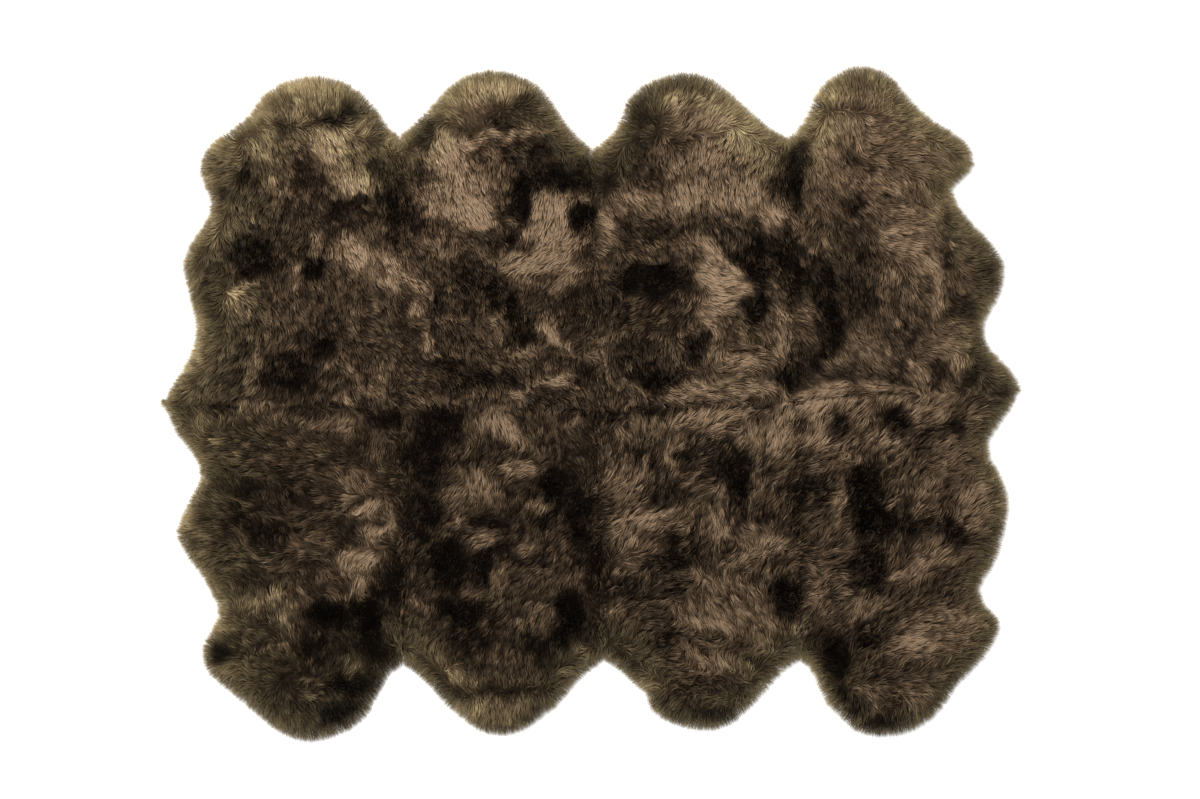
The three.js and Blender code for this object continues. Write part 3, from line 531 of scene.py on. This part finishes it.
def slab_mesh(top, bottom):
    """A closed slab between two grids of points: both grids' faces, and a strip round their border."""
    rows, columns = top.shape[:2]
    ids = np.arange(rows * columns).reshape(rows, columns)
    quads = np.stack([ids[:-1, :-1], ids[:-1, 1:], ids[1:, 1:], ids[1:, :-1]], axis=2).reshape(-1, 4)
    border = np.concatenate([ids[0, :-1], ids[:-1, -1], ids[-1, :0:-1], ids[:0:-1, 0]])
    after = np.roll(border, -1)
    under = rows * columns
    strip = np.column_stack([border + under, after + under, after, border])
    points = np.concatenate([top.reshape(-1, 3), bottom.reshape(-1, 3)])
    first, second, third = points[quads[0, :3]]
    faces = np.vstack([quads, quads[:, ::-1] + under, strip])
    upwards = np.cross(second - first, third - first)[2] > 0
    return points, (faces if upwards else faces[:, ::-1]).tolist()


# Dense under-wool: the same dyed fibre as the strands above it, matted, and painted darker than they are with
# the shade deep in the pile.
under_wool, tree, shader = new_material("dense_under_wool_in_painted_shade")
LUMP = 14  # mm from lock to lock in the matted wool
place = add_node(tree, "ShaderNodeTexCoord").outputs["Object"]
lumps = add_node(tree, "ShaderNodeTexNoise", inputs={"Vector": place, "Scale": 1000 / LUMP, "Detail": 5.0})
tone = add_node(tree, "ShaderNodeAttribute", {"attribute_name": "tone"}).outputs["Fac"]
shade = add_ramp(
    tree,
    tone,
    [(0.0, "#080605"), (0.25, "#140f0b"), (0.5, "#2b2218"), (0.75, "#463828"), (1.0, "#5e4c38")],
)
tree.links.new(shade, shader.inputs["Base Color"])
bump = add_node(
    tree,
    "ShaderNodeBump",
    inputs={"Height": lumps.outputs["Fac"], "Strength": 0.8, "Distance": 0.004},
)
tree.links.new(bump.outputs["Normal"], shader.inputs["Normal"])
shader.inputs["Roughness"].default_value = 1.0
shader.inputs["Specular IOR Level"].default_value = 0.03

edges = {name: np.stack([o, np.roll(o, -1, axis=0)], axis=1) for name, o in outlines.items()}
seams = {name: edges[name][is_seam(name)] for name in PELTS}
free_edges = {name: edges[name][~is_seam(name)] for name in PELTS}
map_low = np.array(cad_box[0][:2]) - MAP_MARGIN
nap = nap_map(map_low, np.array(cad_box[1][:2]) + MAP_MARGIN)
fleeces = {}
for name in PELTS:
    coat = dict(zip(COAT_COLUMNS, COAT[name]))
    grid = pelt_grid(outlines[name])
    flat = grid.reshape(-1, 2)
    inset = away_from(flat, free_edges[name])[0]
    swell = np.sqrt(1 - (1 - np.clip(inset / FLEECE_ROUND, 0, 1)) ** 2)
    body = FLEECE_SHARE * loft_at(flat, name) * (1 + FLEECE_LUMP * lattice_noise(flat, FLEECE_LUMP_SIZE, 3))
    height = HIDE_THICK + FLEECE_EDGE + swell * (body - HIDE_THICK - FLEECE_EDGE)
    top = np.column_stack([flat, height]).reshape(*grid.shape[:2], 3)
    bottom = np.concatenate([grid, np.full((*grid.shape[:2], 1), HIDE_THICK)], axis=2)
    fleeces[name] = new_piece(f"fleece_{name[5:]}", *slab_mesh(top, bottom), under_wool)
    fleeces[name].data.shade_smooth()
    # The fleece takes the brushed patches' painted sheen and shade too.
    tone = coat["tone"] + read_map(nap, map_low, flat)[:, 0] + FLEECE_PALE * (1 - swell)
    layer = fleeces[name].data.attributes.new("tone", "FLOAT", "POINT")
    layer.data.foreach_set("value", np.tile(np.clip(tone, 0, 1), 2).astype(np.float32))
    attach(fleeces[name], "root")

# Wool
# Long lustrous sheep's wool, dyed dark brown. It grows in locks whose tips draw together. Where it lies
# flat it is painted pale with the sheen of its combed flanks, where it stands it is painted dark with shade,
# and at the free edges it fans out to the floor.
STRAND_WIDTH = 0.0016  # a strand stands for a few dozen fibres, so it is coarser than one
STRAND_STOPS = np.array([0, 0.6, 1])  # root, bend and tip, as shares of a strand's length
STRAND_CLEAR = 0.0006  # no strand comes closer to the floor than this
ROOT_PITCH = 0.00365  # from strand to strand over the fleece
LOCK_PITCH = 0.016  # from lock to lock
RIM_PITCH = 0.0003  # from strand to strand along a free edge
RIM_INSET = 0.002  # how far in from the edge that edge wool is rooted
RIM_REACH = 0.0475  # how far the longest wool stands past the hide at a free edge
RIM_TIPS = (0.001, 0.016)  # lowest and highest tips of the edge wool, over the floor
RIM_ARCH = 0.006  # how far edge wool arches up between its root and its tip
RIM_TURN = 0.055  # how far in from a free edge the wool starts to turn outwards
RIM_PALE = 0.11  # how far in from a free edge it starts to grow paler
RIM_PALER = 0.11  # and how much paler it is at the edge
RIM_SMOOTH = 0.16  # how far in from a free edge it starts to be combed smoother
RIM_SMOOTHER = 0.55  # and how much less its tones stray at the edge
RIM_BLEACH_AND_GLOW = 0.019  # how far in from a free edge the tips are paler, partly bleached and partly painted glow of the bright floor
FURROW = 0.016  # how far from the middle seam painted shade darkens the wool where it parts
FURROW_SHADE = 0.3  # and how much darker that painted shade makes it at the seam
FURROW_OVER = 0.014  # how far a strand may reach past the middle seam
CROSSING = 0.03  # how far from an upright seam strands start to lean both ways over it
DRIFTS = ((0.05, 0.13), (0.07, 0.05), (0.09, 0.02))  # slow changes of tone: how much, and over what distance
LOCK_STRAY = 0.09  # how far a lock's tone strays from the coat's
STRAND_STRAY = 0.052  # how far a strand's tone strays from its lock's
PALE_SHARE = 0.12  # share of the strands that took less dye
PALE_EXTRA = 0.14  # and how much paler those are
TIP_PALE = 0.06  # how much paler a strand is at its tip than at its root
DARKEST = 0.16  # tones under this are lifted most of the way back to it
BLEACH_AND_GLOW_TONE = 0.83  # tone of the paler tips at the rim, partly bleached and partly painted glow
PARTING_WANDER = 0.012  # how far a parting strays to either side
PARTING_CELL = 0.04  # and over what distance
PARTING_BLUR = 0.022  # how far from a parting single strands still turn either way
COMBED = 0.7  # weight of the coat's own combing beside that of a brushed patch
OUTWARDS = 3  # weight of the way out over a free edge, at the edge itself
TURNS = ((50, 0.16), (30, 0.055))  # slow turns of the nap: by how many degrees, and over what distance
CURL_TURN = 75  # degrees by which the nap of the curliest coat turns from lock to lock
CURL_CELL = 0.036  # and over what distance
TONE_WIDTH = 0.002  # a strand's own half width on the tone axis of its colour map


def inside(places, outline):
    """True for places inside a closed outline: a ray to +X crosses it an odd number of times."""
    x0, y0 = outline.T
    x1, y1 = np.roll(outline, -1, axis=0).T
    x, y = places[:, :1], places[:, 1:]
    spans = (y0 > y) != (y1 > y)
    cross = x0 + (x1 - x0) * (y - y0) / np.where(y1 == y0, 1, y1 - y0)
    return np.sum(spans & (x < cross), axis=1) % 2 == 1


def wool_roots(outline, free, rng):
    """Places that strands grow from: an even scatter over the hide, then more along the free edge."""
    x, y = [np.arange(a, b, ROOT_PITCH) for a, b in zip(outline.min(axis=0), outline.max(axis=0))]
    cells = np.stack(np.meshgrid(x, y), axis=-1).reshape(-1, 2)
    scatter = cells + rng.uniform(0, ROOT_PITCH, cells.shape)
    scatter = scatter[inside(scatter, outline)]
    start, end = free[:, 0], free[:, 1]
    length = np.linalg.norm(end - start, axis=1)
    travel = rng.uniform(0, length.sum(), int(length.sum() / RIM_PITCH))
    segment = np.searchsorted(np.cumsum(length), travel)
    share = 1 - (np.cumsum(length)[segment] - travel) / length[segment]
    along = (end - start)[segment]
    inwards = np.column_stack([-along[:, 1], along[:, 0]]) / length[segment, None]
    rim = start[segment] + share[:, None] * along + RIM_INSET * inwards
    return np.concatenate([scatter, rim]), np.arange(len(scatter) + len(rim)) >= len(scatter)


def lock_of(places, seed):
    """Number of the lock that each place is in: the nearest of some points strayed from a square lattice."""
    stray = np.random.default_rng(seed).uniform(0, 1, (64, 64, 2))
    around = np.stack(np.meshgrid((-1, 0, 1), (-1, 0, 1)), axis=-1).reshape(-1, 2)
    cells = np.floor(places / LOCK_PITCH).astype(int)[:, None] + around
    centres = (cells + stray[cells[:, :, 0] % 64, cells[:, :, 1] % 64]) * LOCK_PITCH
    nearest = np.argmin(np.sum((centres - places[:, None]) ** 2, axis=2), axis=1)
    chosen = cells[np.arange(len(places)), nearest]
    return np.unique(chosen, axis=0, return_inverse=True)[1].ravel()


def close_to(distance, span):
    """1 at an edge, falling evenly to 0 at that span from it."""
    return np.clip(1 - distance / span, 0, 1)


def strands(name, seed):
    """The strands of a pelt. A strand is a narrow blade from its root in the fleece through a bend to its
    tip. At root and bend it takes the heading of the nap there. It rises steeply, then lies over: far over in
    pale patches, little in dark ones, and outwards at the rim. The tips of a lock are drawn to their mean.
    Gives the points along the strands, the half widths there, the tones there, which strands have faded to
    olive, and how deep the painted shade at their roots is."""
    rng = np.random.default_rng(seed)
    outline, coat = outlines[name], dict(zip(COAT_COLUMNS, COAT[name]))
    roots, on_rim = wool_roots(outline, free_edges[name], rng)
    count = len(roots)
    loft = loft_at(roots, name)
    lock = lock_of(roots, seed)
    stray = rng.normal(size=(lock.max() + 1, 4))[lock]

    # Edges and seams: how far off they are. Edge wool spreads less in a notch, where it would meet the wool
    # of the far side, and at a sharp corner.
    rims = np.concatenate(list(free_edges.values()))
    low, high = outline.min(axis=0) - RIM_TURN, outline.max(axis=0) + RIM_TURN
    rims = rims[np.all((rims[:, 0] > low) & (rims[:, 0] < high), axis=1)]
    to_edge, outward, agree = away_from(roots, rims)
    rim = close_to(to_edge, RIM_TURN)
    across = away_from(roots + (to_edge + RIM_REACH)[:, None] * outward, rims)[0]
    spread = RIM_REACH * (0.2 + 0.8 * np.clip(across / RIM_REACH, 0, 1)) * (0.4 + 0.6 * agree)
    along = np.abs(seams[name][:, 1] - seams[name][:, 0])
    to_middle = away_from(roots, seams[name][along[:, 0] > along[:, 1]])[0]
    to_side = away_from(roots, seams[name][along[:, 0] <= along[:, 1]])[0]

    # Tone: the coat's, paler towards the rim and darkened by painted shade in the middle furrow, with drifts
    # at three sizes. Each lock and each strand then strays from it, less at the rim. Edges that face left,
    # towards the key light, are painted lighter, and those of the lower necks, which face away from it, are
    # painted darker.
    painted_key_light = np.maximum(-outward[:, 0], 0) + 0.7 * np.minimum(outward[:, 1], 0)
    plain = coat["tone"] + (RIM_PALER + 0.02 * painted_key_light) * close_to(to_edge, RIM_PALE)
    plain -= FURROW_SHADE * close_to(to_middle, FURROW) * (1 - rim)
    uneven = 1 - RIM_SMOOTHER * close_to(to_edge, RIM_SMOOTH)
    for size, cell in DRIFTS:
        plain += size * uneven * lattice_noise(roots, cell, seed + int(1000 * cell))
    uneven_dye_and_shade = coat["uneven_dye_and_shade"] * uneven
    own = rng.normal(0, STRAND_STRAY, count)
    own += PALE_EXTRA * (rng.uniform(0, 1, count) < PALE_SHARE)
    own = LOCK_STRAY * uneven * stray[:, 0] + uneven_dye_and_shade * own
    # The brushed patches add their painted sheen and shade to the tone.
    tone = plain + read_map(nap, map_low, roots)[:, 0]
    upright = np.clip((0.3 - tone) / 0.2, 0, 1) * (1 - rim)

    # Lean: how far the tip stands from the root, and how high. Dark wool is more upright, and wool that
    # reaches past the hide comes down towards the floor.
    flat = np.clip(0.45 + 0.6 * (tone + own), 0.4, 1.05) * (1 + 0.1 * stray[:, 1])
    flat *= rng.uniform(0.75, 1.15, count)
    flat *= 1 - 0.35 * upright
    reach = np.where(on_rim, spread * rng.uniform(0.8, 1.02, count), coat["reach"] * flat)
    reach = np.minimum(reach, np.where(rim > 0, to_edge + spread * rng.uniform(0.6, 0.95, count), 1))
    reach = np.minimum(reach, to_middle + FURROW_OVER + 2 * RIM_REACH * rim)
    past_hide = np.clip(reach * np.clip(2 * rim, 0, 1) - to_edge, 0, None)
    tip = loft * (1 + 0.05 * stray[:, 2]) * rng.uniform(0.84, 1.04, count)
    tip = np.minimum(tip, loft - past_hide * rng.uniform(0.75, 1.05, count))
    tip = np.where(on_rim, rng.uniform(*RIM_TIPS, count), tip)
    root = np.minimum(FLEECE_SHARE * loft * np.sqrt(np.clip(to_edge / FLEECE_ROUND, 0, 1)), 0.45 * loft)
    root = np.maximum(root, HIDE_THICK)

    # Line: from root to bend to tip along the nap, which turns back over the neck past the parting. Near an
    # upright seam half the strands lean the other way, so the wool of the two pelts crosses over it.
    swing = (0.08 + 0.2 * coat["curl"]) * stray[:, 3] * (1 - rim)
    swing += rng.normal(0, np.where(on_rim, 0.25, 0.12))
    swing += 0.8 * upright * rng.normal(size=count)
    parting = coat["parting"] + coat["slant"] * (roots[:, 0] - roots[:, 0].mean())
    parting += PARTING_WANDER * lattice_noise(roots, PARTING_CELL, 24) + rng.normal(0, PARTING_BLUR, count)
    over_neck = np.abs(roots[:, 1]) > parting
    back = np.where(rng.uniform(0, 1, count) < 0.5 * close_to(to_side, CROSSING), -1, 1)
    places = [roots]
    for step, length in enumerate(np.diff(STRAND_STOPS)):
        heading = coat["comb"] + 180.0 * over_neck
        for n, (turn, cell) in enumerate(TURNS):
            heading += turn * lattice_noise(places[-1], cell, 21 + n)
        heading += CURL_TURN * coat["curl"] * lattice_noise(places[-1], CURL_CELL, 23)
        way = COMBED * unit(heading) + read_map(nap, map_low, places[-1])[:, 1:]
        way = (back / np.linalg.norm(way, axis=1))[:, None] * way + OUTWARDS * (rim**3)[:, None] * outward
        angle = np.arctan2(way[:, 1], way[:, 0]) + swing + 0.45 * coat["curl"] * stray[:, 2] * (step - 0.5)
        forward = np.column_stack([np.cos(angle), np.sin(angle)])
        places.append(places[-1] + (reach * length)[:, None] * forward)
    heights = root[:, None] + (tip - root)[:, None] * (1 - (1 - STRAND_STOPS) ** 2.2)
    heights += RIM_ARCH * on_rim[:, None] * np.sin(np.pi * STRAND_STOPS)
    line = np.concatenate([np.stack(places, axis=1), heights[:, :, None]], axis=2)
    members = np.bincount(lock)[:, None]
    sums = np.column_stack([np.bincount(lock, v) for v in line.reshape(count, -1).T])
    pull = (0.18 + 0.25 * coat["curl"]) * (1 - rim)[:, None] * STRAND_STOPS**2
    line += pull[:, :, None] * ((sums / members)[lock].reshape(line.shape) - line)

    # Width: the blade is turned a little about its own line and narrows to its tip, and edge wool is finer
    run = (line[:, -1] - line[:, 0]) / np.linalg.norm(line[:, -1] - line[:, 0], axis=1)[:, None]
    left = np.cross([0, 0, 1], run)
    left /= np.linalg.norm(left, axis=1)[:, None]
    roll = rng.normal(0, 0.5, (count, 1))
    half = (left * np.cos(roll) + np.cross(run, left) * np.sin(roll)) * rng.uniform(0.7, 1.2, (count, 1))
    taper = (1 - 0.45 * STRAND_STOPS**2)[:, None]
    finer = np.where(on_rim, 0.65, 1 - 0.3 * rim)[:, None, None]
    half = STRAND_WIDTH / 2 * half[:, None] * taper * finer

    # Tone along the strand: half the painted sheen and shade of the brushed patches where each stop lies, and
    # half that near the tip. Tips are paler, most of all at the rim, where they are partly bleached and
    # partly painted with the glow of the bright floor, more where the edge faces the key light and less on
    # the lower necks.
    olive = rng.uniform(0, 1, count) < 1.1 - to_edge / coat["olive"]
    sheen_and_shade = np.stack([read_map(nap, map_low, p)[:, 0] for p in places], axis=1)
    sheen_and_shade = 0.5 * sheen_and_shade + 0.25 * sheen_and_shade[:, -2:].sum(axis=1, keepdims=True)
    tones = plain[:, None] + sheen_and_shade
    tones += 0.75 * np.clip(DARKEST - tones, 0, None)
    tones += own[:, None] + TIP_PALE * STRAND_STOPS
    bleach_and_glow = np.clip(1.1 - to_edge / RIM_BLEACH_AND_GLOW, 0, 1)[:, None] * STRAND_STOPS**2.3
    pale = BLEACH_AND_GLOW_TONE + 0.20 * painted_key_light[:, None] + rng.normal(0, 0.07, (count, 1))
    tones += bleach_and_glow * (pale - tones)
    return line, half, np.clip(tones, 0.02, 0.98), olive, np.clip(uneven_dye_and_shade, 0.3, 1)


def wool_piece(name, seed, material):
    """The wool of a pelt as one mesh of blades: pairs of points along each strand and one at its tip. Its
    colour map has tone across, brown wool in the left half and olive in the right, and root to tip up, which
    the material turns into painted shade that is deepest at the root."""
    line, half, tones, olive, shade = strands(name, seed)
    count, stops = tones.shape
    pairs = np.stack([line - half, line + half], axis=2).reshape(count, 2 * stops, 3)[:, :-1]
    pairs[:, -1] = line[:, -1]
    pairs[:, :, 2] = np.maximum(pairs[:, :, 2], STRAND_CLEAR)
    side = np.tile([-TONE_WIDTH, TONE_WIDTH], stops)[:-1] * np.repeat([1] * (stops - 1) + [0], 2)[:-1]
    map_u = 0.5 * np.repeat(tones, 2, axis=1)[:, :-1] + 0.5 * olive[:, None] + side
    map_v = 0.99 - 0.98 * shade[:, None] * np.repeat(1 - STRAND_STOPS, 2)[:-1]
    first = 2 * np.arange(stops - 2)[:, None]
    last = 2 * stops - 2
    blade = np.vstack([first + [0, 3, 1], first + [0, 2, 3], [[last - 2, last, last - 1]]])
    corners = (blade[None] + (2 * stops - 1) * np.arange(count)[:, None, None]).ravel()
    mesh = bpy.data.meshes.new(f"wool_{name[5:]}")
    mesh.vertices.add(pairs.size // 3)
    mesh.vertices.foreach_set("co", pairs.ravel().astype(np.float32))
    mesh.loops.add(len(corners))
    mesh.loops.foreach_set("vertex_index", corners.astype(np.int32))
    mesh.polygons.add(len(corners) // 3)
    mesh.polygons.foreach_set("loop_start", np.arange(0, len(corners), 3, dtype=np.int32))
    mesh.update(calc_edges=True)
    colour_map = np.stack([map_u, map_v], axis=2).reshape(-1, 2)[corners]
    mesh.uv_layers.new(name="OFBake").data.foreach_set("uv", colour_map.ravel().astype(np.float32))
    mesh.materials.append(material)
    mesh.shade_smooth()
    piece = bpy.data.objects.new(mesh.name, mesh)
    bpy.context.collection.objects.link(piece)
    return piece


# Dyed sheep's wool: fine crimped fibres with a silky lustre, and painted shade that darkens it towards the
# root, deep in the pile. The left half of its tones is brown wool. The right half is wool whose dye has faded
# to olive, up to the beige of the tips at the rim, partly bleached and partly painted glow of the bright
# floor.
wool, tree, shader = new_material("dyed_wool_and_painted_light")
place = add_node(tree, "ShaderNodeUVMap", {"uv_map": "OFBake"}).outputs["UV"]
axes = add_node(tree, "ShaderNodeSeparateXYZ", inputs={"Vector": place})
tones = add_ramp(tree, axes.outputs["X"], [
    (0.0, "#060403"), (0.1, "#1d1610"), (0.225, "#413427"),
    (0.35, "#6d5944"), (0.44, "#967c61"), (0.497, "#b09477"),
    (0.503, "#060503"), (0.6, "#1d1912"), (0.725, "#413829"),
    (0.85, "#736448"), (0.94, "#b09b72"), (1.0, "#d5c191"),
])
# Painted shade: the colour darkens from tip to root, where the pile is deepest.
root_shade = add_ramp(tree, axes.outputs["Y"], [(0.0, "#4a4a4a"), (0.5, "#c4c4c4"), (1.0, "#ffffff")])
colour = add_node(tree, "ShaderNodeMix", {"data_type": "RGBA", "blend_type": "MULTIPLY"}, {"Factor": 1.0})
tree.links.new(tones, colour.inputs["A"])
tree.links.new(root_shade, colour.inputs["B"])
tree.links.new(colour.outputs["Result"], shader.inputs["Base Color"])
shader.inputs["Roughness"].default_value = 0.5
shader.inputs["Specular IOR Level"].default_value = 0.05

for seed, name in enumerate(PELTS):
    piece = wool_piece(name, 100 + 10 * seed, wool)
    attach(piece, "root")
    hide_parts(name)

# Floor, light and camera
# A pale studio floor under soft light from all round, with a broad key from the upper left, and a camera
# that looks straight down from high above.
FLOOR_SIZE = 30.0
FLOOR_DROP = 0.0002  # the floor lies just under the hides, so that the two aren't in one plane
CAMERA_HEIGHT = 8.0
FRAME_WIDTH = 3.326  # metres of floor across the picture
CAMERA_OVER = (0.0285, 0.0113)  # the point of the floor at the middle of the picture

floor_material, tree, shader = new_material("pale_studio_floor")
place = add_node(tree, "ShaderNodeTexCoord").outputs["Object"]
cloud = add_node(tree, "ShaderNodeTexNoise", inputs={"Vector": place, "Scale": 1.5})
paint = add_ramp(tree, cloud.outputs["Fac"], [(0.3, "#f3f3f2"), (0.5, "#f4f4f3"), (0.7, "#f5f5f4")])
tree.links.new(paint, shader.inputs["Base Color"])
shader.inputs["Roughness"].default_value = 0.9
half = FLOOR_SIZE / 2
floor = new_piece(
    "floor",
    [(x * half, y * half, -FLOOR_DROP) for x, y in ((-1, -1), (1, -1), (1, 1), (-1, 1))],
    [(0, 1, 2, 3)],
    floor_material,
)

scene = bpy.context.scene
scene.view_settings.view_transform = "Standard"
scene.world = bpy.data.worlds.new("soft_studio")
scene.world.use_nodes = True
scene.world.node_tree.nodes["Background"].inputs["Color"].default_value = (1, 1, 1, 1)
scene.world.node_tree.nodes["Background"].inputs["Strength"].default_value = 0.95

key = bpy.data.objects.new("key_light", bpy.data.lights.new("key_light", "AREA"))
key.data.shape = "DISK"
key.data.size = 3.0
key.data.energy = 442
key.location = (-2.4, 2.4, 5.0)
key.rotation_euler = (-key.location).to_track_quat("-Z", "Y").to_euler()
bpy.context.collection.objects.link(key)

camera = bpy.data.objects.new("camera", bpy.data.cameras.new("camera"))
camera.data.sensor_width = 36.0
camera.data.lens = camera.data.sensor_width * CAMERA_HEIGHT / FRAME_WIDTH
camera.location = (*CAMERA_OVER, CAMERA_HEIGHT)
bpy.context.collection.objects.link(camera)
scene.camera = camera
